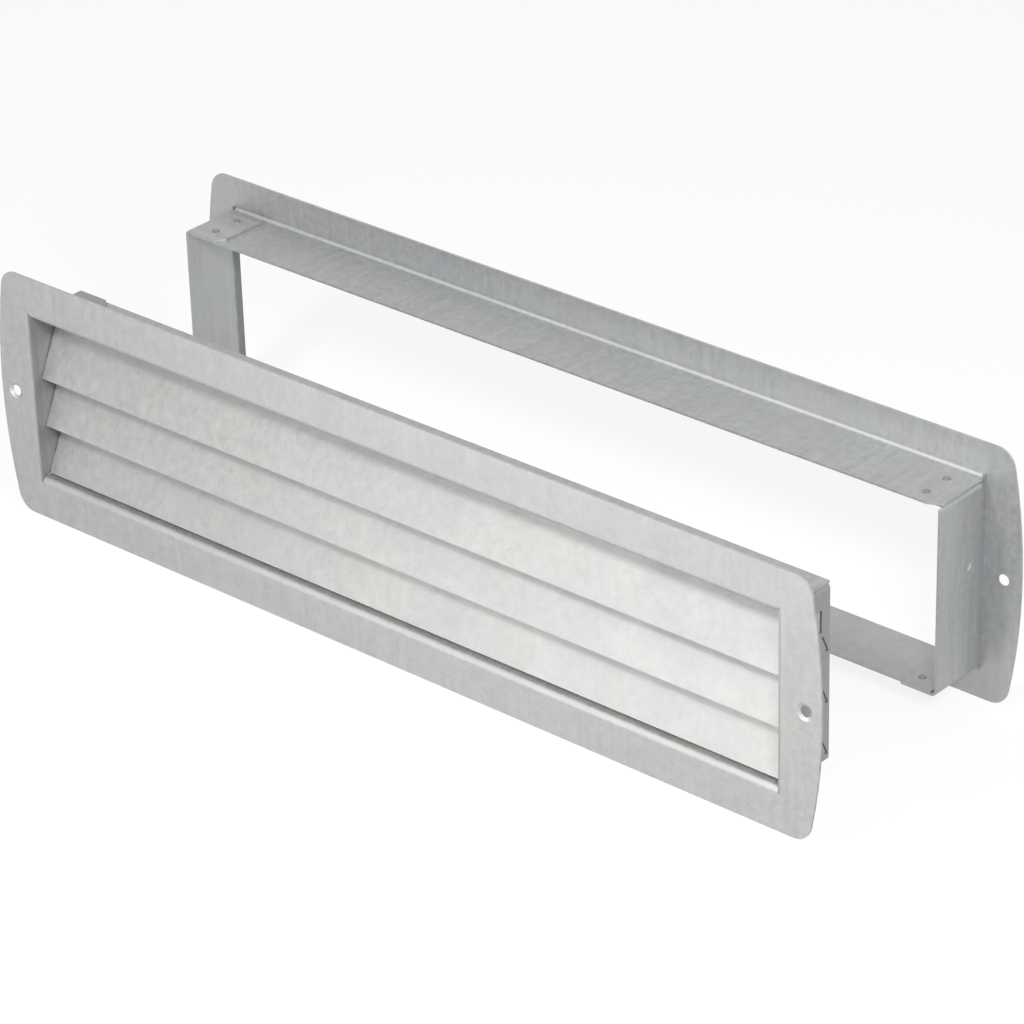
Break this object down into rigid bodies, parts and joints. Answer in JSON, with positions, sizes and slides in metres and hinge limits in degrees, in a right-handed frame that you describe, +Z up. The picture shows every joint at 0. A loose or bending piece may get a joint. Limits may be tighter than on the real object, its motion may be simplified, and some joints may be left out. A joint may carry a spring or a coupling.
{
  "type": "door vent grille",
  "caption": "Telescopic metal door vent grille: a louvred front plate with a shallow sleeve and an open rear frame that slides over it through the door.",
  "frame": {"origin": "centre of the front face plate, midway between its two screw holes, on the side of the plate that seats against the door", "axes": "+X along the grille's length, +Y through the door from the front plate to the rear frame, +Z up"},
  "size_m": [0.455, 0.132, 0.118],
  "materials": {
    "face_sheet": "matt mill-finish sheet",
    "cheek_sheet": "matt mill-finish sheet",
    "blade_sheet": "matt, slightly cloudy sheet",
    "rivet": "plain"
  },
  "bodies": {
    "front_grille": {"front_face_plate": "face_sheet", "front_left_cheek": "cheek_sheet", "front_right_cheek": "cheek_sheet", "louvre_blade_1": "blade_sheet", "louvre_blade_2": "blade_sheet", "louvre_blade_3": "blade_sheet", "front_corner_rivets": "rivet"},
    "rear_frame": {"rear_face_plate": "face_sheet", "rear_left_cheek": "cheek_sheet", "rear_right_cheek": "cheek_sheet", "rear_corner_rivets": "rivet"}
  },
  "joints": [
    {"name": "telescopic_slide", "type": "slide", "parent": "front_grille", "child": "rear_frame", "axis": [0, 1, 0], "range_m": [-0.0965, 0]}
  ]
}
